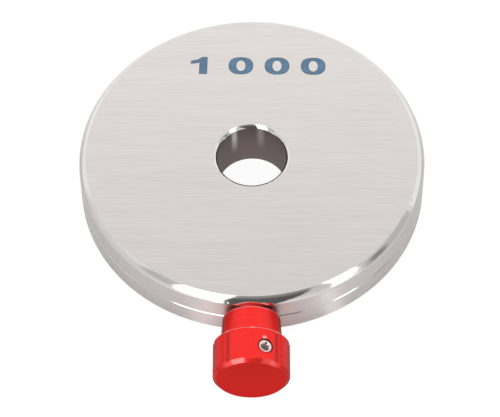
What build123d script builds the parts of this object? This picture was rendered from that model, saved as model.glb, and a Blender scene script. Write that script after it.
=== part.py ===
"""Calibration weight: a one-kilogram steel disc that slides on a rod and is clamped to it.

The disc has a through bore for the rod. A screw runs along a tapped hole from the rim to the
bore. Its outer end carries a fluted aluminium knob, held by a grub screw. Its inner end is a
ball that carries a brass pad, which grips the rod without turning on it.

Millimetres. The origin is the centre of the bore at half thickness, +Z runs along the bore and
the knob points along -Y. Threads are drawn as plain cylinders at their outer diameter.
"""
import os
from math import acos, cos, degrees, radians, sin, sqrt

from build123d import *

# Disc
disc_d = 100.0
disc_t = 16.6
disc_edge = 2.0  # bevel round both faces, as deep as it is wide
disc_edge_crown = 4.0  # the bevel is slightly rounded, to this radius
bore_d = 20.2
bore_edge = 0.9  # bevel at the upper mouth of the bore, as deep as it is wide
bore_edge_crown = 1.8  # rounded as the disc's bevels are
bore_under_edge = 0.3  # the lower mouth is only deburred
rim_line = 0.5  # width of the V line turned round the rim at half thickness

# Fits
running_clearance = 0.05  # radial, between a thread or journal and its hole
neck_gap = 0.8  # from the knob's neck to the rim, as the weight is stored
pad_recess = 0.1  # how far the pad stands back from the bore's wall, as stored

# Clamp screw
thread_d = 10.0
thread_edge = 0.9  # chamfer at both ends of the thread
mouth_edge = 0.6  # countersink where the tapped hole meets the rim
ball_d = 5.5
ball_neck_d = 3.4
ball_tip_d = 1.4  # small flat faced on the ball, which bears on the floor of the pocket

# Thrust pad
pad_d = 8.3
pad_floor = 1.5  # brass between the ball and the rod
pad_lip_d = 4.7  # the pocket's mouth, closed in behind the ball by a 45 degree lip
pad_edge = 0.5
pad_shoulder_gap = 1.6  # from the pad's mouth to the end of the thread, along the bare neck

# Knob
neck_rim_d = 16.4  # the neck widens from the rim end to the head
neck_head_d = 17.4
neck_length = 8.4
neck_edge = 0.4
head_d = 21.5
head_length = 11.0
head_front_edge = 1.0
head_back_edge = 0.3
front_wall = 2.0  # aluminium left in front of the blind hole
socket_edge = 0.5  # countersink at the mouth of the blind hole
flute_count = 9
flute_d = 4.0  # cutter diameter
flute_depth = 0.22
flute_round = 0.3  # rounded edge of each flute

# Grub screw
grub_d = 4.0
grub_recess = 0.3  # below the knob's surface
grub_edge = 0.2
grub_point_edge = 0.7
grub_hex = 2.0  # across flats
grub_hex_depth = 2.2
grub_mouth_d = 2.9  # 90 degree countersink round the socket
grub_angle = 22.0  # from +Z towards +X, as stored
grub_from_front = 5.2  # from the knob's front face to the grub screw's axis
flat_length = 4.0  # milled on the screw under the grub screw
flat_depth = 0.55

# Places along the screw's axis, which is -Y
rim_y = -disc_d / 2
pad_face_y = -bore_d / 2 - pad_recess
socket_r = ball_d / 2 + running_clearance
pocket_floor_y = pad_face_y - pad_floor
ball_y = pocket_floor_y - sqrt(socket_r**2 - (ball_tip_d / 2) ** 2)
pad_mouth_y = ball_y - sqrt(2) * socket_r + pad_lip_d / 2
thread_start_y = pad_mouth_y - pad_shoulder_gap
neck_y = rim_y - neck_gap
head_y = neck_y - neck_length
front_y = head_y - head_length
thread_end_y = front_y + front_wall
grub_y = front_y + grub_from_front

# The grub screw stands on the flat and its socket end is sunk below the knob's surface
grub_direction = Vector(sin(radians(grub_angle)), 0, cos(radians(grub_angle)))
flat_r = thread_d / 2 - flat_depth
grub_length = head_d / 2 - grub_recess - flat_r
grub_plane = Plane(
    origin=Vector(0, grub_y, 0) + grub_direction * flat_r,
    x_dir=(0, 1, 0),
    z_dir=grub_direction,
)


def across(y):
    """Plane square to the screw's axis at y. Its normal is -Y, its x is +X and its y is +Z."""
    return Plane.XZ.offset(-y)


# Disc: turned from stainless plate, then cross-drilled and tapped at half thickness
with BuildPart() as weight_disc:
    with BuildSketch(Plane.XZ):
        with BuildLine():
            upper_bevel = RadiusArc(
                (disc_d / 2 - disc_edge, disc_t / 2),
                (disc_d / 2, disc_t / 2 - disc_edge),
                disc_edge_crown,
            )
            lower_bevel = RadiusArc(
                (disc_d / 2, disc_edge - disc_t / 2),
                (disc_d / 2 - disc_edge, -disc_t / 2),
                disc_edge_crown,
            )
            Polyline(
                upper_bevel @ 1,
                (disc_d / 2, rim_line / 2),
                (disc_d / 2 - rim_line / 2, 0),
                (disc_d / 2, -rim_line / 2),
                lower_bevel @ 0,
            )
            bore_bevel = RadiusArc(
                (bore_d / 2, disc_t / 2 - bore_edge),
                (bore_d / 2 + bore_edge, disc_t / 2),
                bore_edge_crown,
            )
            Polyline(
                lower_bevel @ 1,
                (bore_d / 2 + bore_under_edge, -disc_t / 2),
                (bore_d / 2, bore_under_edge - disc_t / 2),
                bore_bevel @ 0,
            )
            Line(bore_bevel @ 1, upper_bevel @ 0)
        make_face()
    revolve(axis=Axis.Z)
    with BuildSketch(across(0)):
        Circle(thread_d / 2 + running_clearance)
    extrude(amount=disc_d / 2 + neck_gap, mode=Mode.SUBTRACT)
    with BuildSketch(Plane.XY):
        with BuildLine():
            Polyline(
                (0, rim_y - mouth_edge),
                (thread_d / 2 + running_clearance + 2 * mouth_edge, rim_y - mouth_edge),
                (thread_d / 2 + running_clearance, rim_y + mouth_edge),
                (0, rim_y + mouth_edge),
                close=True,
            )
        make_face()
    revolve(axis=Axis.Y, mode=Mode.SUBTRACT)
weight_disc.part.label = "weight_disc"

# Thrust pad: brass, turned with a flat-bottomed pocket whose mouth is crimped behind the ball
with BuildPart() as thrust_pad:
    with BuildSketch(Plane.XY):
        with BuildLine():
            Polyline(
                (0, pocket_floor_y),
                (socket_r, pocket_floor_y),
                (socket_r, pad_mouth_y + socket_r - pad_lip_d / 2),
                (pad_lip_d / 2, pad_mouth_y),
                (pad_d / 2 - pad_edge, pad_mouth_y),
                (pad_d / 2, pad_mouth_y + pad_edge),
                (pad_d / 2, pad_face_y - pad_edge),
                (pad_d / 2 - pad_edge, pad_face_y),
                (0, pad_face_y),
                close=True,
            )
        make_face()
    revolve(axis=Axis.Y)
thrust_pad.part.label = "thrust_pad"

# Clamp screw: steel, threaded from end to end, with the ball at the bore and a flat in the knob
with BuildPart() as clamp_screw:
    with BuildSketch(Plane.XY):
        with BuildLine():
            tip_angle = degrees(acos(ball_tip_d / ball_d))
            neck_angle = -degrees(acos(ball_neck_d / ball_d))
            ball = CenterArc((0, ball_y), ball_d / 2, tip_angle, neck_angle - tip_angle)
            Polyline(
                ball @ 1,
                (ball_neck_d / 2, thread_start_y),
                (thread_d / 2 - thread_edge, thread_start_y),
                (thread_d / 2, thread_start_y - thread_edge),
                (thread_d / 2, thread_end_y + thread_edge),
                (thread_d / 2 - thread_edge, thread_end_y),
                (0, thread_end_y),
                (0, (ball @ 0).Y),
                ball @ 0,
            )
        make_face()
    revolve(axis=Axis.Y)
    with BuildSketch(grub_plane):
        Rectangle(flat_length, thread_d)
    extrude(amount=thread_d, mode=Mode.SUBTRACT)
clamp_screw.part.label = "clamp_screw"

# Knob: turned and fluted from aluminium bar, with a blind hole for the screw
with BuildPart() as clamp_knob:
    with BuildSketch(across(head_y)) as lobes:
        Circle(head_d / 2)
        first_flute = 90 - grub_angle + 180 / flute_count
        flute_centre = (head_d + flute_d) / 2 - flute_depth
        with PolarLocations(flute_centre, flute_count, start_angle=first_flute):
            Circle(flute_d / 2, mode=Mode.SUBTRACT)
        fillet(lobes.vertices(), flute_round)
    extrude(amount=head_length)
    with BuildSketch(Plane.XY):
        with BuildLine():
            Polyline(
                (0, head_y),
                (head_d / 2 - head_back_edge, head_y),
                (head_d / 2, head_y - head_back_edge),
                (head_d / 2, front_y + head_front_edge),
                (head_d / 2 - head_front_edge, front_y),
                (0, front_y),
                close=True,
            )
        make_face()
    revolve(axis=Axis.Y, mode=Mode.INTERSECT)
    with BuildSketch(Plane.XY):
        with BuildLine():
            Polyline(
                (0, neck_y),
                (neck_rim_d / 2 - neck_edge, neck_y),
                (neck_rim_d / 2, neck_y - neck_edge),
                (neck_head_d / 2, head_y),
                (0, head_y),
                close=True,
            )
        make_face()
    revolve(axis=Axis.Y)
    with BuildSketch(Plane.XY):
        with BuildLine():
            Polyline(
                (0, neck_y),
                (thread_d / 2 + running_clearance + socket_edge, neck_y),
                (thread_d / 2 + running_clearance, neck_y - socket_edge),
                (thread_d / 2 + running_clearance, thread_end_y),
                (0, thread_end_y),
                close=True,
            )
        make_face()
    revolve(axis=Axis.Y, mode=Mode.SUBTRACT)
    with BuildSketch(grub_plane):
        Circle(grub_d / 2 + running_clearance)
    extrude(amount=head_d, mode=Mode.SUBTRACT)
clamp_knob.part.label = "clamp_knob"

# Grub screw: steel, with a hexagon socket and a chamfered point that bears on the flat
with BuildPart() as knob_grub_screw:
    grub_axis = Axis(grub_plane.origin, grub_direction)
    with BuildSketch(grub_plane):
        Circle(grub_d / 2)
    extrude(amount=grub_length)
    grub_ends = knob_grub_screw.edges().filter_by(GeomType.CIRCLE).sort_by(grub_axis)
    chamfer(grub_ends[0], grub_point_edge)
    grub_ends = knob_grub_screw.edges().filter_by(GeomType.CIRCLE).sort_by(grub_axis)
    chamfer(grub_ends[-1], grub_edge)
    with BuildSketch(grub_plane.offset(grub_length)):
        RegularPolygon(grub_hex / 2, 6, major_radius=False)
    extrude(amount=-grub_hex_depth, mode=Mode.SUBTRACT)
    with Locations(grub_plane.offset(grub_length - grub_mouth_d / 2)):
        Cone(
            bottom_radius=0,
            top_radius=grub_mouth_d / 2,
            height=grub_mouth_d / 2,
            align=(Align.CENTER, Align.CENTER, Align.MIN),
            mode=Mode.SUBTRACT,
        )
knob_grub_screw.part.label = "knob_grub_screw"

os.makedirs("parts", exist_ok=True)
export_step(weight_disc.part, "parts/weight_disc.step")
export_step(thrust_pad.part, "parts/thrust_pad.step")
export_step(clamp_screw.part, "parts/clamp_screw.step")
export_step(clamp_knob.part, "parts/clamp_knob.step")
export_step(knob_grub_screw.part, "parts/knob_grub_screw.step")
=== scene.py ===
"""Calibration weight: a stainless steel disc with a blue mark, clamped to a rod by a red knob."""
import math

import bmesh
import bpy
from mathutils import Matrix, Vector


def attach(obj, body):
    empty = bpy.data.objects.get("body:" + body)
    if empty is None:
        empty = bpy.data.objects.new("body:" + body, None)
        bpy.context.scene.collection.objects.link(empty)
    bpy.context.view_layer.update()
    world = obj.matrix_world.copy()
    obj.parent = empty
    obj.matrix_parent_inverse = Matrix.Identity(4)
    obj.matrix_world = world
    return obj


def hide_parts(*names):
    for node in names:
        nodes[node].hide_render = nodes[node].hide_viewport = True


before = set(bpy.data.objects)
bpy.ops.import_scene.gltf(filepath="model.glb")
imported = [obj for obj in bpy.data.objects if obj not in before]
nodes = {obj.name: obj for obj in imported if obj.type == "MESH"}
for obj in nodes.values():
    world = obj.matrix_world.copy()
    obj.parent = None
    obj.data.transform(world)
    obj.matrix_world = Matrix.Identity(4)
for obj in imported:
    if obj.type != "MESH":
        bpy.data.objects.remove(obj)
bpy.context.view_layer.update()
mm = 0.001

# Camera: a long lens held well above the disc, looking down past the knob.
# It is turned a hair to one side and tipped a hair about its own axis.
camera_rise = math.radians(56.183)
camera_tip = math.radians(0.889)
camera_swing = math.radians(0.909)
camera_place = Vector((-0.742, -426.3, 616.9)) * mm
level = Vector((1, 0, 0))
steep = Vector((0, math.sin(camera_rise), math.cos(camera_rise)))
across_view = level * math.cos(camera_tip) - steep * math.sin(camera_tip)
up_view = level * math.sin(camera_tip) + steep * math.cos(camera_tip)
out_of_view = across_view.cross(up_view)
lens = bpy.data.cameras.new("long_lens")
lens.sensor_width = 36
lens.lens = 185.02
lens.clip_start = 0.01
camera = bpy.data.objects.new("camera", lens)
turn = Matrix((across_view, up_view, out_of_view)).transposed().to_4x4()
camera.matrix_world = (
    Matrix.Rotation(camera_swing, 4, "Z") @ Matrix.Translation(camera_place) @ turn
)
bpy.context.scene.collection.objects.link(camera)
bpy.context.scene.camera = camera
bpy.context.scene.view_settings.view_transform = "Standard"


# Bench: a white sheet under the weight. The knob's head is thicker than the disc, so the
# weight leans on the far edge of the disc and on the back edge of the head. The camera sees
# the sheet nearly white; polished metal sees it darker, with two gleams from the soft boxes.
def new_material(name):
    material = bpy.data.materials.new(name)
    material.use_nodes = True
    tree = material.node_tree
    tree.nodes.clear()
    return material, tree


def add_node(tree, kind, **settings):
    node = tree.nodes.new(kind)
    for key, value in settings.items():
        setattr(node, key, value)
    return node


def feed(tree, socket, value):
    if isinstance(value, bpy.types.NodeSocket):
        tree.links.new(value, socket)
    else:
        socket.default_value = value


def math_node(tree, operation, a, b=0.0, clamp=False):
    node = add_node(tree, "ShaderNodeMath", operation=operation, use_clamp=clamp)
    feed(tree, node.inputs[0], a)
    feed(tree, node.inputs[1], b)
    return node.outputs[0]


def product(tree, first, *others):
    for other in others:
        first = math_node(tree, "MULTIPLY", first, other)
    return first


def total(tree, first, *others):
    for other in others:
        first = math_node(tree, "ADD", first, other)
    return first


def blend_value(tree, mask, a, b):
    node = add_node(tree, "ShaderNodeMix")
    for socket, value in ((node.inputs[0], mask), (node.inputs[2], a), (node.inputs[3], b)):
        feed(tree, socket, value)
    return node.outputs[0]


def smooth_step(tree, value, low, high, new_low=0.0, new_high=1.0):
    node = add_node(tree, "ShaderNodeMapRange", interpolation_type="SMOOTHSTEP")
    for socket, number in zip(node.inputs, (value, low, high, new_low, new_high)):
        feed(tree, socket, number)
    return node.outputs[0]


def object_place(tree):
    """The place on the piece, whole and as its three coordinates."""
    place = add_node(tree, "ShaderNodeTexCoord").outputs["Object"]
    axes = add_node(tree, "ShaderNodeSeparateXYZ")
    tree.links.new(place, axes.inputs[0])
    return place, *axes.outputs


def bearing_of(tree, x, y):
    """The bearing in degrees, counted from the knob towards +X."""
    return math_node(tree, "DEGREES", math_node(tree, "ARCTAN2", x, product(tree, y, -1.0)))


def new_object(name, mesh):
    made = bpy.data.objects.new(name, mesh)
    bpy.context.scene.collection.objects.link(made)
    return made


def mesh_points(name):
    """The corners of a CAD piece's mesh, in the frame's own axes."""
    return [vertex.co.copy() for vertex in nodes[name].data.vertices]


disc_points = mesh_points("weight_disc")
disc_r = max(p.x for p in disc_points)
disc_half = max(p.z for p in disc_points)
disc_bevel = 2.0 * mm
knob_points = mesh_points("clamp_knob")
widest_neck_r = 8.7 * mm
head_r = max(math.hypot(p.x, p.z) for p in knob_points)
head_end = max(p.y for p in knob_points if math.hypot(p.x, p.z) > widest_neck_r + 0.1 * mm)
head_edge = 0.3 * mm
disc_rest = Vector((0, disc_r - disc_bevel, -disc_half))
head_rest = Vector((0, head_end - head_edge, -head_r))
lean = math.atan2(disc_rest.z - head_rest.z, disc_rest.y - head_rest.y)
bench_half = 3.0
bench_mesh = bpy.data.meshes.new("bench")
bench_points = [
    disc_rest + Matrix.Rotation(lean, 3, "X") @ Vector((x, y, 0)) * bench_half
    for x, y in ((-1, -1), (1, -1), (1, 1), (-1, 1))
]
bench_mesh.from_pydata([tuple(p) for p in bench_points], [], [(0, 1, 2, 3)])
bench = new_object("bench", bench_mesh)

# what polished metal sees of the sheet: its glow near the weight, in the shade close in front
# of it, behind it, and far off; each gleam is (bearing, half its width, strength)
near_glow, shaded_glow, added_glow_behind, far_glow = 0.24, 0.10, 0.14, 0.03
gleams = ((-17, 10, 0.32), (29.5, 6.5, 0.4))
near_tone, far_tone = 0.95, 0.8
# what the camera sees of it, and what it gives back to the room
camera_glow, camera_tone, room_tone = 0.93, 0.15, 0.8
bench_white, tree = new_material("bench_white")
place, x, y, _ = object_place(tree)
away = add_node(tree, "ShaderNodeVectorMath", operation="LENGTH")
tree.links.new(place, away.inputs[0])
away = away.outputs["Value"]
bearing = bearing_of(tree, x, y)
aside = math_node(tree, "ABSOLUTE", bearing)
close = smooth_step(tree, away, 58 * mm, 52 * mm)
close = product(tree, close, smooth_step(tree, aside, 70, 50))
far = smooth_step(tree, away, 62 * mm, 110 * mm)
far = product(tree, far, smooth_step(tree, aside, 138, 108))
shine = blend_value(tree, close, near_glow, shaded_glow)
for middle, half, strength in gleams:
    off = math_node(tree, "ABSOLUTE", math_node(tree, "SUBTRACT", bearing, middle))
    shine = total(tree, shine, product(tree, smooth_step(tree, off, half, 0), strength))
shine = total(tree, shine, smooth_step(tree, aside, 100, 150, 0.0, added_glow_behind))
shine = blend_value(tree, far, shine, far_glow)
path = add_node(tree, "ShaderNodeLightPath").outputs
straight = math_node(tree, "ADD", path["Is Camera Ray"], path["Is Transmission Ray"], True)
sheet = add_node(tree, "ShaderNodeBsdfDiffuse")
tone = blend_value(tree, far, near_tone, far_tone)
tone = blend_value(tree, path["Is Glossy Ray"], room_tone, tone)
feed(tree, sheet.inputs["Color"], blend_value(tree, straight, tone, camera_tone))
glow = add_node(tree, "ShaderNodeEmission")
shine = blend_value(tree, path["Is Glossy Ray"], 0.0, shine)
feed(tree, glow.inputs["Strength"], blend_value(tree, straight, shine, camera_glow))
both = add_node(tree, "ShaderNodeAddShader")
out = add_node(tree, "ShaderNodeOutputMaterial")
tree.links.new(sheet.outputs[0], both.inputs[0])
tree.links.new(glow.outputs[0], both.inputs[1])
tree.links.new(both.outputs[0], out.inputs[0])
bench_mesh.materials.append(bench_white)

# Studio: an even white room, and two lamps where two tall soft boxes stand in front of the
# weight. The boxes themselves, the dark gap between them where the camera stands, and the
# greys of the room are curved panels that only polished metal sees.
room_light, room_seen = 0.62, 1.0
world = bpy.data.worlds.new("studio")
bpy.context.scene.world = world
world.use_nodes = True
tree = world.node_tree
tree.nodes.clear()
path = add_node(tree, "ShaderNodeLightPath").outputs
seen = total(tree, path["Is Camera Ray"], path["Is Glossy Ray"])
seen = math_node(tree, "ADD", seen, path["Is Transmission Ray"], True)
room = add_node(tree, "ShaderNodeBackground")
room.inputs["Color"].default_value = (1, 1, 1, 1)
feed(tree, room.inputs["Strength"], blend_value(tree, seen, room_light, room_seen))
out = add_node(tree, "ShaderNodeOutputWorld")
tree.links.new(room.outputs[0], out.inputs[0])


def from_weight(bearing, rise, distance):
    """A place seen from the weight, its bearing counted from the knob towards +X."""
    b, r = math.radians(bearing), math.radians(rise)
    flat = math.cos(r)
    return Vector((math.sin(b) * flat, -math.cos(b) * flat, math.sin(r))) * distance


def lamp(name, bearing, rise, half_width, half_height, strength, distance=1.2):
    light = bpy.data.lights.new(name, "AREA")
    light.shape = "RECTANGLE"
    light.size = 2 * distance * math.tan(math.radians(half_width))
    light.size_y = 2 * distance * math.tan(math.radians(half_height))
    light.energy = strength * light.size * light.size_y * math.pi
    place = from_weight(bearing, rise, distance)
    facing = place.to_track_quat("Z", "Y").to_matrix().to_4x4()
    box = new_object(name, light)
    box.matrix_world = Matrix.Translation(place) @ facing
    box.visible_camera = False
    box.visible_glossy = False


def ramp(tree, value, low, high, new_low=0.0, new_high=1.0):
    node = add_node(tree, "ShaderNodeMapRange")
    for socket, number in zip(node.inputs, (value, low, high, new_low, new_high)):
        feed(tree, socket, number)
    return node.outputs[0]


def panel_mesh(name, low, high, rises, distance, facing):
    rows, columns = 13, 25
    points = []
    for row in range(rows):
        up = row / (rows - 1)
        rise = rises[0] + (rises[1] - rises[0]) * up
        left, right = (a + (b - a) * up for a, b in zip(low, high))
        for column in range(columns):
            bearing = facing + left + (right - left) * column / (columns - 1)
            points.append(from_weight(bearing, rise, distance))
    faces = [
        (k, k + columns, k + columns + 1, k + 1)
        for row in range(rows - 1)
        for k in range(row * columns, row * columns + columns - 1)
    ]
    mesh = bpy.data.meshes.new(name)
    mesh.from_pydata(points, [], faces)
    return mesh


def panel(name, low, high, rises, shades, soft=(5, 6), distance=1.5, facing=0):
    """A curved panel that only polished metal sees. low and high are its bearings at its
    lowest and highest rise, counted from facing. shades are (rise, strength) pairs. soft is
    how far it fades in at its sides and at its ends. All but distance are in degrees."""
    mesh = panel_mesh(name, low, high, rises, distance, facing)
    material, tree = new_material(name)
    turn = add_node(tree, "ShaderNodeMapping")
    turn.inputs["Rotation"].default_value = (0, 0, -math.radians(facing))
    tree.links.new(add_node(tree, "ShaderNodeTexCoord").outputs["Object"], turn.inputs[0])
    axes = add_node(tree, "ShaderNodeSeparateXYZ")
    tree.links.new(turn.outputs[0], axes.inputs[0])
    x, y, z = axes.outputs
    bearing = bearing_of(tree, x, y)
    rise = math_node(tree, "ARCSINE", math_node(tree, "DIVIDE", z, distance))
    rise = math_node(tree, "DEGREES", rise)
    shown = 1.0
    for side, inward in ((0, 1), (1, -1)):
        edge = ramp(tree, rise, rises[0], rises[1], low[side], high[side])
        inside = product(tree, math_node(tree, "SUBTRACT", bearing, edge), inward)
        shown = product(tree, shown, smooth_step(tree, inside, 0, soft[0]))
        end = smooth_step(tree, rise, rises[side], rises[side] + inward * soft[1])
        shown = product(tree, shown, end)
    strength = shades[0][1]
    for (lower, _), (upper, shade) in zip(shades, shades[1:]):
        strength = blend_value(tree, smooth_step(tree, rise, lower, upper), strength, shade)
    light = add_node(tree, "ShaderNodeEmission")
    feed(tree, light.inputs["Strength"], strength)
    clear = add_node(tree, "ShaderNodeBsdfTransparent")
    choose = add_node(tree, "ShaderNodeMixShader")
    out = add_node(tree, "ShaderNodeOutputMaterial")
    tree.links.new(shown, choose.inputs[0])
    tree.links.new(clear.outputs[0], choose.inputs[1])
    tree.links.new(light.outputs[0], choose.inputs[2])
    tree.links.new(choose.outputs[0], out.inputs[0])
    mesh.materials.append(material)
    made = new_object(name, mesh)
    for ray in ("camera", "diffuse", "shadow", "transmission"):
        setattr(made, "visible_" + ray, False)


lamp_light, box_light = 2.2, 3.2
lamp("lamp_left", -26.5, 33, 15, 14, lamp_light)
lamp("lamp_right", 50, 29, 10, 14, lamp_light)
panel(
    "camera_gap", (-20, 15), (-20, 56), (-2, 84),
    ((0, 0.10), (42, 0.12), (60, 0.32), (76, 0.45)), (6, 4),
)
panel(
    "camera_side", (6, 52), (30, 92), (-2, 84),
    ((3, 0.85), (12, 0.78), (24, 0.68), (40, 0.7), (60, 0.6)), (5, 4), 1.55,
)
panel("box_left", (-41, -15), (-54, -10), (5, 84), ((0, box_light),), (4, 6), 1.45)
panel("box_right", (39.5, 52.5), (53, 83), (5, 84), ((0, box_light),), (4, 6), 1.45)
panel(
    "grey_left", (-64, -36), (-76, -44), (-2, 74),
    ((4, 0.82), (16, 0.7), (34, 0.56), (54, 0.62)), (8, 6), 1.56,
)
panel(
    "room_left", (-114, -52), (-114, -60), (-2, 62),
    ((2, 0.76), (20, 0.76), (40, 0.88), (55, 0.95)), (10, 8), 1.6,
)
panel(
    "grey_right", (54, 102), (66, 106), (-2, 64),
    ((2, 0.62), (9, 0.55), (20, 0.58), (36, 0.6), (50, 0.75)), (7, 8), 1.56,
)
panel("dark_right", (61, 79), (68, 86), (2, 42), ((0, 0.3),), (7, 8), 1.5)
panel(
    "back_light", (-56, 56), (-56, 56), (4, 86),
    ((44, 1.2), (58, 1.02), (74, 0.75)), (20, 8), 0.4, 180,
)

# Disc: turned from stainless plate. Both faces are brushed in one direction, the bevels are
# polished, and the rim keeps its fine turning lines. The bore and its cross hole are rougher,
# and painted dark as painted shade; two painted highlights streak down the bore wall.
bore_r = min(math.hypot(p.x, p.y) for p in disc_points)
cross_hole_r = 5.1 * mm
cross_hole_mouth = 0.7 * mm
skin = 0.02 * mm
face_dark, face_pale = (0.61, 0.575, 0.555), (0.735, 0.70, 0.68)
rim_dark, rim_pale = (0.58, 0.545, 0.535), (0.66, 0.625, 0.615)
bevel_colour = (0.78, 0.76, 0.74)
# the bore wall is painted dark as painted shade, and its streaks are painted highlights
bore_painted_shade_colour, bore_painted_highlight_colour = (0.255, 0.205, 0.203), (0.95, 0.92, 0.93)
# the cross hole is painted darker still, as painted shade
cross_hole_painted_shade = (0.22, 0.20, 0.19)
# painted highlights on the bore wall, one below each soft box
bore_painted_highlights = ((-30.5, 8.0, 1.0), (14.5, 9.0, 0.45))  # angle from +Y, half width, strength


def new_group(name, kind, inputs, outputs):
    group = bpy.data.node_groups.new(name, kind)
    for label, (socket, value) in inputs.items():
        made = group.interface.new_socket(label, in_out="INPUT", socket_type=socket)
        if value is not None:
            made.default_value = value
    for label, socket in outputs.items():
        group.interface.new_socket(label, in_out="OUTPUT", socket_type=socket)
    given = add_node(group, "NodeGroupInput").outputs
    made = add_node(group, "NodeGroupOutput").inputs
    return group, given, made


def joined_xyz(tree, x=0.0, y=0.0, z=0.0):
    node = add_node(tree, "ShaderNodeCombineXYZ")
    for socket, value in zip(node.inputs, (x, y, z)):
        feed(tree, socket, value)
    return node.outputs[0]


# fine lines that run along X of the vector given, with a slow drift of tone
machining, given, made = new_group(
    "machining_lines",
    "ShaderNodeTree",
    {
        "Vector": ("NodeSocketVector", None),
        "Length": ("NodeSocketFloat", 0.02),
        "Pitch": ("NodeSocketFloat", 0.0003),
    },
    {"Lines": "NodeSocketFloat", "Drift": "NodeSocketFloat"},
)
parts = add_node(machining, "ShaderNodeSeparateXYZ")
machining.links.new(given["Vector"], parts.inputs[0])
along = math_node(machining, "DIVIDE", parts.outputs[0], given["Length"])
over = math_node(machining, "DIVIDE", parts.outputs[1], given["Pitch"])
fine = joined_xyz(machining, along, over)
lines = add_node(machining, "ShaderNodeTexNoise")
lines.inputs["Scale"].default_value = 1.0
lines.inputs["Detail"].default_value = 3.0
lines.inputs["Roughness"].default_value = 0.6
machining.links.new(fine, lines.inputs["Vector"])
machining.links.new(lines.outputs[0], made["Lines"])
slow = add_node(machining, "ShaderNodeVectorMath", operation="MULTIPLY")
slow.inputs[1].default_value = (0.5, 0.12, 0.1)
machining.links.new(fine, slow.inputs[0])
drift = add_node(machining, "ShaderNodeTexNoise")
drift.inputs["Scale"].default_value = 1.0
drift.inputs["Detail"].default_value = 2.0
machining.links.new(slow.outputs[0], drift.inputs["Vector"])
machining.links.new(drift.outputs[0], made["Drift"])


def blend_colour(tree, mask, a, b):
    node = add_node(tree, "ShaderNodeMix", data_type="RGBA")
    feed(tree, node.inputs[0], mask)
    for socket, value in ((node.inputs[6], a), (node.inputs[7], b)):
        feed(tree, socket, value if isinstance(value, bpy.types.NodeSocket) else (*value, 1))
    return node.outputs[2]


def machined(tree, vector, length, pitch):
    """The lines and the slow drift of tone, for lines of this length and pitch."""
    node = add_node(tree, "ShaderNodeGroup", node_tree=machining)
    node.inputs["Length"].default_value = length
    node.inputs["Pitch"].default_value = pitch
    tree.links.new(vector, node.inputs["Vector"])
    return node.outputs["Lines"], node.outputs["Drift"]


def spread(tree, lines, new_low=0.0, new_high=1.0):
    """Lines and drifts lie mostly between 0.3 and 0.7. This spreads them over a new range."""
    return ramp(tree, lines, 0.3, 0.7, new_low, new_high)


def from_axis(tree, a, b):
    """The distance from an axis, from the two coordinates square to it."""
    node = add_node(tree, "ShaderNodeVectorMath", operation="LENGTH")
    tree.links.new(joined_xyz(tree, a, b), node.inputs[0])
    return node.outputs["Value"]


def wrapped(tree, a, b, height, radius):
    """Places on a turned surface as (distance round it, height), for lines that run round."""
    angle = math_node(tree, "ARCTAN2", b, a)
    return joined_xyz(tree, product(tree, angle, radius), height)


def above(tree, value, limit):
    return math_node(tree, "GREATER_THAN", value, limit)


def below(tree, value, limit):
    return math_node(tree, "LESS_THAN", value, limit)


def metal_out(tree, colour, roughness, height=None, depth=0.0):
    shader = add_node(tree, "ShaderNodeBsdfPrincipled")
    shader.inputs["Metallic"].default_value = 1.0
    out = add_node(tree, "ShaderNodeOutputMaterial")
    tree.links.new(colour, shader.inputs["Base Color"])
    tree.links.new(roughness, shader.inputs["Roughness"])
    if height is not None:
        bump = add_node(tree, "ShaderNodeBump")
        bump.inputs["Distance"].default_value = depth
        bump.inputs["Strength"].default_value = 1.0
        tree.links.new(height, bump.inputs["Height"])
        tree.links.new(bump.outputs[0], shader.inputs["Normal"])
    tree.links.new(shader.outputs[0], out.inputs[0])
    return shader


machined_steel, tree = new_material("machined_stainless")
place, x, y, z = object_place(tree)
radius = from_axis(tree, x, y)
on_face = above(tree, math_node(tree, "ABSOLUTE", z), disc_half - skin)
on_rim = above(tree, radius, disc_r - skin)
in_bore = below(tree, radius, bore_r + skin)
in_cross_hole = product(
    tree,
    below(tree, from_axis(tree, x, z), cross_hole_r),
    below(tree, y, 10 * skin - bore_r),
    below(tree, radius, disc_r - cross_hole_mouth),
)
brushed, brushed_drift = machined(tree, place, 22 * mm, 0.5 * mm)
scratched, _ = machined(tree, place, 7 * mm, 0.11 * mm)
turned, _ = machined(tree, wrapped(tree, x, y, z, disc_r), 30 * mm, 0.12 * mm)
face_tone = total(tree, brushed, product(tree, scratched, 0.7))
face_tone = total(tree, face_tone, product(tree, brushed_drift, 0.3))
face_colour = blend_colour(tree, ramp(tree, face_tone, 0.7, 1.3), face_dark, face_pale)
side_angle = math_node(tree, "DEGREES", math_node(tree, "ARCTAN2", x, y))
# painted highlights: lighter streaks down the bore wall at two angles round it, fading towards the
# bottom
streaks = 0.0
for middle, half, strength in bore_painted_highlights:
    off = math_node(tree, "ABSOLUTE", math_node(tree, "SUBTRACT", side_angle, middle))
    painted_streak = product(tree, smooth_step(tree, off, half, 0.1 * half), strength)
    streaks = total(tree, streaks, painted_streak)
streaks = product(tree, streaks, smooth_step(tree, z, -4 * mm, 7 * mm))
colour = blend_colour(tree, on_face, bevel_colour, face_colour)
colour = blend_colour(tree, on_rim, colour, blend_colour(tree, turned, rim_dark, rim_pale))
# the bore wall: painted shade, with painted highlights streaking it
bore_painted_colour = blend_colour(tree, streaks, bore_painted_shade_colour, bore_painted_highlight_colour)
colour = blend_colour(tree, in_bore, colour, bore_painted_colour)
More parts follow.
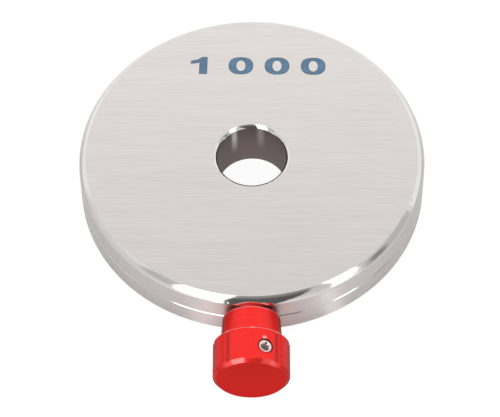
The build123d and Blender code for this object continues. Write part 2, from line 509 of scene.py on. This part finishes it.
# the cross hole: painted shade
colour = blend_colour(tree, in_cross_hole, colour, cross_hole_painted_shade)
roughness = blend_value(tree, on_face, 0.05, spread(tree, brushed, 0.3, 0.4))
roughness = blend_value(tree, on_rim, roughness, spread(tree, turned, 0.28, 0.34))
roughness = blend_value(tree, in_bore, roughness, 0.42)
roughness = blend_value(tree, in_cross_hole, roughness, 0.55)
height = blend_value(tree, on_face, 0.5, brushed)
height = blend_value(tree, on_rim, height, turned)
shader = metal_out(tree, colour, roughness, height, 0.004 * mm)
shader.inputs["Specular Tint"].default_value = (0.75, 0.75, 0.75, 1)
shader.inputs["Anisotropic"].default_value = 0.85
# the lines run along X on the faces and round the disc elsewhere
lay_x = blend_value(tree, on_face, product(tree, y, -1.0), 1.0)
lay_y = blend_value(tree, on_face, x, 0.0)
lay = add_node(tree, "ShaderNodeVectorMath", operation="NORMALIZE")
tree.links.new(joined_xyz(tree, lay_x, lay_y), lay.inputs[0])
tree.links.new(lay.outputs[0], shader.inputs["Tangent"])
nodes["weight_disc"].data.materials[0] = machined_steel

# Mark: the mass in grams as bold, wide numbers, printed on the upper face in blue ink. The
# ink is drawn as a skin 0.02 mm thick. It dried darker along its edges.
figure_height = 6.3 * mm
one_width, zero_width = 5.0 * mm, 7.3 * mm
counter_width, counter_height = 2.7 * mm, 0.62 * figure_height
zero_squareness, counter_squareness = 2.35, 2.1
oval_count = 64
one_place, zero_places = -17.2 * mm, (-4.8 * mm, 5.9 * mm, 16.6 * mm)
ink_depth = 0.02 * mm
ink_edge = 0.28 * mm
mark_centre = Vector((1.5, 32.2)) * mm
mark_turn = math.radians(-0.74)


def oval(width, height, squareness):
    """Points round a squared oval about the origin, counter-clockwise from +X."""
    power = 2 / squareness
    points = []
    for k in range(oval_count):
        c, s = math.cos(math.tau * k / oval_count), math.sin(math.tau * k / oval_count)
        px = math.copysign(abs(c) ** power, c) * width / 2
        py = math.copysign(abs(s) ** power, s) * height / 2
        points.append(Vector((px, py)))
    return points


def shrunk(loop, amount):
    """The closed loop moved inwards by amount, corner by corner."""
    moved = []
    for before, here, after in zip(loop[-1:] + loop[:-1], loop, loop[1:] + loop[:1]):
        a, b = (here - before).normalized(), (after - here).normalized()
        inward = Vector((-a.y - b.y, a.x + b.x)).normalized()
        moved.append(here + inward * amount / max(0.5, inward.dot(Vector((-a.y, a.x)))))
    return moved


def ink_band(bm, outer, inner, material_index):
    """Joins two loops of as many corners each with faces."""
    for k in range(len(outer)):
        n = (k + 1) % len(outer)
        bm.faces.new((outer[k], outer[n], inner[n], inner[k])).material_index = material_index


def ink_loop(bm, loop, centre_x, height):
    return [bm.verts.new((p.x + centre_x, p.y, height)) for p in loop]


def ink_figure(bm, loops, centre_x):
    """One figure from its outer loop and, where it has one, the loop of its counter."""
    rims, feet = [], []
    for loop, side in zip(loops, (1, -1)):
        edge = ink_loop(bm, loop, centre_x, ink_depth)
        feet.append(ink_loop(bm, loop, centre_x, 0))
        rims.append(ink_loop(bm, shrunk(loop, side * ink_edge), centre_x, ink_depth))
        ink_band(bm, edge, rims[-1], 1)
        ink_band(bm, feet[-1], edge, 1)
    for flat in (rims, feet):
        if len(flat) == 1:
            bm.faces.new(flat[0])
        else:
            ink_band(bm, flat[0], flat[1], 0)


bm = bmesh.new()
zero = [
    oval(zero_width, figure_height, zero_squareness),
    oval(counter_width, counter_height, counter_squareness),
]
one = [
    Vector((px, py)) * mm - Vector((one_width, figure_height)) / 2
    for px, py in (
        (2.55, 0), (4.95, 0), (5.0, 6.3), (3.35, 6.3), (2.5, 5.6), (1.4, 5.15), (0.1, 4.95),
        (0.1, 3.75), (1.4, 3.9), (2.6, 4.25),
    )
]
ink_figure(bm, [one], one_place)
for centre_x in zero_places:
    ink_figure(bm, zero, centre_x)
bmesh.ops.recalc_face_normals(bm, faces=bm.faces)
mark_mesh = bpy.data.meshes.new("mark_1000")
bm.to_mesh(mark_mesh)
bm.free()
mark_mesh.transform(
    Matrix.Translation((mark_centre.x, mark_centre.y, disc_half))
    @ Matrix.Rotation(mark_turn, 4, "Z")
)
mark = new_object("mark_1000", mark_mesh)


def ink(name, dark, light):
    material, tree = new_material(name)
    streaks, drift = machined(tree, object_place(tree)[0], 3 * mm, 0.3 * mm)
    tone = ramp(tree, total(tree, streaks, drift), 0.75, 1.25)
    shader = add_node(tree, "ShaderNodeBsdfPrincipled")
    out = add_node(tree, "ShaderNodeOutputMaterial")
    tree.links.new(blend_colour(tree, tone, dark, light), shader.inputs["Base Color"])
    tree.links.new(spread(tree, streaks, 0.4, 0.55), shader.inputs["Roughness"])
    tree.links.new(shader.outputs[0], out.inputs[0])
    return material


mark_mesh.materials.append(ink("blue_ink", (0.085, 0.19, 0.32), (0.13, 0.27, 0.44)))
mark_mesh.materials.append(ink("blue_ink_edge", (0.075, 0.13, 0.18), (0.11, 0.18, 0.25)))
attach(mark, "disc")

# Clamp screw: steel, with a rolled M10 x 1.5 thread from end to end, a ball on a bare neck
# at the bore, and a flat milled under the grub screw. The solid has no thread drawn on it.
thread_r = 5.0 * mm
thread_pitch = 1.5 * mm
thread_depth = 0.9 * mm
thread_chamfer = 0.9 * mm
ball_r, ball_y = 2.75 * mm, -14.411 * mm
ball_tip_r, ball_neck_r = 0.7 * mm, 1.7 * mm
screw_points = mesh_points("clamp_screw")
thread_start = max(p.y for p in screw_points if math.hypot(p.x, p.z) > ball_r + 0.1 * mm)
thread_end = min(p.y for p in screw_points)
round_count = 48
thread_maker, given, made = new_group(
    "thread_maker",
    "GeometryNodeTree",
    {
        "Length": ("NodeSocketFloat", 0.05),
        "Pitch": ("NodeSocketFloat", 0.0015),
        "Outer radius": ("NodeSocketFloat", 0.005),
        "Thread depth": ("NodeSocketFloat", 0.0009),
        "End chamfer": ("NodeSocketFloat", 0.0009),
        "Material": ("NodeSocketMaterial", None),
    },
    {"Geometry": "NodeSocketGeometry"},
)
bar = add_node(thread_maker, "GeometryNodeMeshCylinder", fill_type="NGON")
bar.inputs["Vertices"].default_value = round_count
bar.inputs["Side Segments"].default_value = 400
feed(thread_maker, bar.inputs["Radius"], given["Outer radius"])
feed(thread_maker, bar.inputs["Depth"], given["Length"])
spot = add_node(thread_maker, "ShaderNodeSeparateXYZ")
position = add_node(thread_maker, "GeometryNodeInputPosition").outputs[0]
thread_maker.links.new(position, spot.inputs[0])
x, y, z = spot.outputs
angle = math_node(thread_maker, "ARCTAN2", y, x)
turns = math_node(thread_maker, "DIVIDE", angle, math.tau)
pitches = math_node(thread_maker, "DIVIDE", z, given["Pitch"])
turns = math_node(thread_maker, "SUBTRACT", pitches, turns)
# one ridge a pitch, with a flat crest and a flat root
ridge = product(thread_maker, math_node(thread_maker, "PINGPONG", turns, 0.5), 2.5)
ridge = math_node(thread_maker, "SUBTRACT", ridge, 0.15, True)
groove = math_node(thread_maker, "SUBTRACT", 1.0, ridge)
groove = product(thread_maker, groove, given["Thread depth"])
to_end = product(thread_maker, given["Length"], 0.5)
to_end = math_node(thread_maker, "SUBTRACT", to_end, math_node(thread_maker, "ABSOLUTE", z))
cut = math_node(thread_maker, "SUBTRACT", given["End chamfer"], to_end)
cut = math_node(thread_maker, "MAXIMUM", cut, groove)
radius = math_node(thread_maker, "SUBTRACT", given["Outer radius"], cut)
new_x = product(thread_maker, math_node(thread_maker, "COSINE", angle), radius)
new_y = product(thread_maker, math_node(thread_maker, "SINE", angle), radius)
shape = add_node(thread_maker, "GeometryNodeSetPosition")
thread_maker.links.new(bar.outputs["Mesh"], shape.inputs["Geometry"])
thread_maker.links.new(joined_xyz(thread_maker, new_x, new_y, z), shape.inputs["Position"])
real = add_node(thread_maker, "GeometryNodeRealizeInstances")
painted = add_node(thread_maker, "GeometryNodeSetMaterial")
thread_maker.links.new(shape.outputs[0], real.inputs[0])
thread_maker.links.new(real.outputs[0], painted.inputs["Geometry"])
thread_maker.links.new(given["Material"], painted.inputs["Material"])
thread_maker.links.new(painted.outputs[0], made["Geometry"])

thread_steel, tree = new_material("oiled_thread_steel")
_, x, y, z = object_place(tree)
turned, turned_drift = machined(tree, wrapped(tree, x, z, y, thread_r), 6 * mm, 0.1 * mm)
grey = blend_colour(tree, turned_drift, (0.36, 0.35, 0.34), (0.50, 0.49, 0.48))
metal_out(tree, grey, spread(tree, turned, 0.22, 0.36), turned, 0.002 * mm)

blank = new_object("thread_blank", bpy.data.meshes.new("thread_blank"))
cutting = blank.modifiers.new("thread", "NODES")
cutting.node_group = thread_maker
values = {
    "Length": thread_start - thread_end,
    "Pitch": thread_pitch,
    "Outer radius": thread_r,
    "Thread depth": thread_depth,
    "End chamfer": thread_chamfer,
    "Material": thread_steel,
}
for item in thread_maker.interface.items_tree:
    if item.in_out == "INPUT":
        cutting[item.identifier] = values[item.name]
bpy.context.view_layer.update()
depsgraph = bpy.context.evaluated_depsgraph_get()
screw_mesh = bpy.data.meshes.new_from_object(blank.evaluated_get(depsgraph))
bpy.data.objects.remove(blank)
screw_mesh.name = "screw_with_thread"
middle = (thread_start + thread_end) / 2
screw_mesh.transform(Matrix.Translation((0, middle, 0)) @ Matrix.Rotation(-math.pi / 2, 4, "X"))

# the flat, then the ball and its neck
grub_angle = math.radians(22)
grub_direction = Vector((math.sin(grub_angle), 0, math.cos(grub_angle)))
grub_y = -65.0 * mm
flat_height = 4.45 * mm
flat_half_length = 2 * mm
bm = bmesh.new()
bm.from_mesh(screw_mesh)
for vertex in bm.verts:
    over = vertex.co.dot(grub_direction) - flat_height
    if over > 0 and abs(vertex.co.y - grub_y) < flat_half_length:
        vertex.co -= grub_direction * over
ball_steps = 20
tip_angle, neck_angle = math.acos(ball_tip_r / ball_r), -math.acos(ball_neck_r / ball_r)
profile = []
for k in range(ball_steps + 1):
    angle = tip_angle + (neck_angle - tip_angle) * k / ball_steps
    profile.append((ball_r * math.cos(angle), ball_y + ball_r * math.sin(angle)))
profile.append((ball_neck_r, thread_start - 0.1 * mm))
corners = [math.tau * k / round_count for k in range(round_count)]
rings = [
    [bm.verts.new((r * math.cos(a), ring_y, r * math.sin(a))) for a in corners]
    for r, ring_y in profile
]
for before, after in zip(rings, rings[1:]):
    for k in range(round_count):
        n = (k + 1) % round_count
        bm.faces.new((before[k], before[n], after[n], after[k]))
bm.faces.new(rings[0])
bm.faces.new(rings[-1])
bmesh.ops.recalc_face_normals(bm, faces=bm.faces)
for face in bm.faces:
    face.smooth = len(face.verts) == 4
bm.to_mesh(screw_mesh)
bm.free()
screw_mesh.set_sharp_from_angle(angle=math.radians(50))
screw = new_object("screw_with_thread", screw_mesh)
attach(screw, "screw")
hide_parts("clamp_screw")

# Thrust pad: brass, turned all over and crimped round the screw's ball, so that the screw
# can turn in it but can't leave it.
turned_brass, tree = new_material("turned_brass")
_, x, y, z = object_place(tree)
height = total(tree, y, from_axis(tree, x, z))
turned, turned_drift = machined(tree, wrapped(tree, x, z, height, 4 * mm), 8 * mm, 0.12 * mm)
yellow = blend_colour(tree, turned_drift, (0.62, 0.43, 0.17), (0.78, 0.57, 0.25))
metal_out(tree, yellow, spread(tree, turned, 0.2, 0.34), turned, 0.003 * mm)
nodes["thrust_pad"].data.materials[0] = turned_brass

# Knob: turned and fluted from aluminium bar, then anodised red. It is held on the screw by
# the grub screw that stands in one of its lobes. Two of its edges carry painted highlights,
# there is a painted highlight beside the grub screw, and the grub screw's hole is rimmed with
# painted shade. Its flutes, the lower part of its front bevel, its front face and its edge-on
# sides are painted darker as painted shade.
neck_end = max(p.y for p in knob_points)
neck_end_r = 8.2 * mm
knob_front = min(p.y for p in knob_points)
front_bevel = 1.0 * mm
red_dark, red_pale = (0.88, 0.016, 0.011), (0.95, 0.021, 0.015)
# painted shade: for the flutes and the lower front bevel, and for the front face
shaded_red, front_face_shade_red = (0.62, 0.014, 0.010), (0.75, 0.034, 0.029)
# painted highlights: for two edges, and for a spot beside the grub screw
edge_highlight_red, grub_side_highlight_red = (0.98, 0.40, 0.37), (0.95, 0.42, 0.38)
# painted shade: for edge-on sides, and round the grub screw's hole
edge_on_shade_red, grub_hole_shade_red = (0.43, 0.03, 0.028), (0.12, 0.002, 0.002)
grub_side_highlight_place = Vector((3.75, -62.45, 10.05)) * mm
grub_mouth = Vector((0, grub_y, 0)) + grub_direction * 10.65 * mm


def spot_mask(tree, place, centre, inner, outer, strength):
    """A round spot, at its full strength as far out as inner and gone at outer."""
    node = add_node(tree, "ShaderNodeVectorMath", operation="DISTANCE")
    node.inputs[1].default_value = centre
    tree.links.new(place, node.inputs[0])
    return ramp(tree, node.outputs["Value"], inner, outer, strength, 0.0)


red_anodised, tree = new_material("red_anodised")
place, x, y, z = object_place(tree)
radius = from_axis(tree, x, z)
height = total(tree, y, radius)
facing_up = math_node(tree, "DIVIDE", z, radius)
turned, turned_drift = machined(tree, wrapped(tree, x, z, height, 10 * mm), 12 * mm, 0.15 * mm)
red = blend_colour(tree, spread(tree, turned_drift), red_dark, red_pale)
# painted shade in the flutes, left off the flute that faces up
shaded_flutes = product(
    tree,
    below(tree, y, head_end - 0.4 * mm),
    above(tree, y, knob_front + front_bevel + 0.05 * mm),
    smooth_step(tree, radius, head_r - 0.01 * mm, head_r - 0.15 * mm),
    smooth_step(tree, facing_up, 0.97, 0.88),
)
red = blend_colour(tree, shaded_flutes, red, shaded_red)
# painted shade on the front face
on_front_face = below(tree, y, knob_front + 0.05 * mm)
red = blend_colour(tree, on_front_face, red, front_face_shade_red)
bevel_reach = head_r - knob_front - front_bevel - 0.05 * mm
on_bevel = above(tree, math_node(tree, "SUBTRACT", radius, y), bevel_reach)
# painted shade on the lower part of the front bevel
shaded_low_bevel = product(tree, on_bevel, smooth_step(tree, facing_up, 0.75, 0.45, 0.0, 0.8))
red = blend_colour(tree, shaded_low_bevel, red, shaded_red)
# painted highlights along the neck's end edge and the head's back edge
neck_edge_highlight = product(
    tree,
    above(tree, y, neck_end - 0.55 * mm),
    above(tree, radius, neck_end_r - 0.5 * mm),
)
head_edge_highlight = product(
    tree,
    above(tree, y, head_end - 0.42 * mm),
    above(tree, radius, head_r - 0.35 * mm),
)
edge_highlight = product(tree, math_node(tree, "MAXIMUM", neck_edge_highlight, head_edge_highlight), 0.8)
red = blend_colour(tree, edge_highlight, red, edge_highlight_red)
# a painted highlight beside the grub screw's hole
grub_side_highlight = spot_mask(tree, place, grub_side_highlight_place, 0.45 * mm, 0.75 * mm, 0.8)
red = blend_colour(tree, grub_side_highlight, red, grub_side_highlight_red)
# painted shade where the knob's surface turns edge-on to the camera
edge_on = add_node(tree, "ShaderNodeLayerWeight").outputs["Facing"]
red = blend_colour(tree, smooth_step(tree, edge_on, 0.54, 0.85), red, edge_on_shade_red)
# painted shade round the mouth of the grub screw's hole
grub_hole_shade = spot_mask(tree, place, grub_mouth, 2.1 * mm, 2.4 * mm, 0.9)
red = blend_colour(tree, grub_hole_shade, red, grub_hole_shade_red)
shader = metal_out(tree, red, spread(tree, turned, 0.42, 0.5), turned, 0.002 * mm)
shader.inputs["Specular Tint"].default_value = (0.18, 0.35, 0.35, 1)
polished = product(tree, on_bevel, smooth_step(tree, facing_up, 0.58, 0.78))
coat = blend_value(tree, polished, blend_value(tree, on_front_face, 0.25, 0.05), 1.0)
tree.links.new(coat, shader.inputs["Coat Weight"])
shader.inputs["Coat Roughness"].default_value = 0.08
shader.inputs["Coat IOR"].default_value = 1.8
nodes["clamp_knob"].data.materials[0] = red_anodised

# Grub screw: bright steel, turned, with a hexagon socket broached in its outer end. Its
# steel is tinted pink as a painted reflection of the red knob, and its socket is coloured darker.
socket_r, socket_fade = 1.22 * mm, 0.14 * mm
bright_steel, tree = new_material("bright_steel")
place, x, y, z = object_place(tree)
turned, turned_drift = machined(tree, place, 1 * mm, 0.1 * mm)
# pinkish: a painted reflection of the red knob on the bright steel
grey = blend_colour(tree, turned_drift, (0.95, 0.66, 0.66), (0.98, 0.72, 0.71))
# the distance from the grub screw's own axis
along_grub = add_node(tree, "ShaderNodeVectorMath", operation="DOT_PRODUCT")
along_grub.inputs[1].default_value = grub_direction
tree.links.new(place, along_grub.inputs[0])
along_squared = math_node(tree, "POWER", math_node(tree, "ABSOLUTE", along_grub.outputs["Value"]), 2.0)
across_squared = math_node(tree, "POWER", from_axis(tree, x, z), 2.0)
off_axis = math_node(tree, "POWER", math_node(tree, "SUBTRACT", y, grub_y), 2.0)
off_axis = total(tree, off_axis, math_node(tree, "SUBTRACT", across_squared, along_squared))
off_axis = math_node(tree, "SQRT", math_node(tree, "MAXIMUM", off_axis, 0.0))
in_socket = ramp(tree, off_axis, socket_r, socket_r + socket_fade, 1.0, 0.0)
grey = blend_colour(tree, in_socket, grey, (0.62, 0.55, 0.53))
metal_out(tree, grey, spread(tree, turned, 0.12, 0.2))
nodes["knob_grub_screw"].data.materials[0] = bright_steel
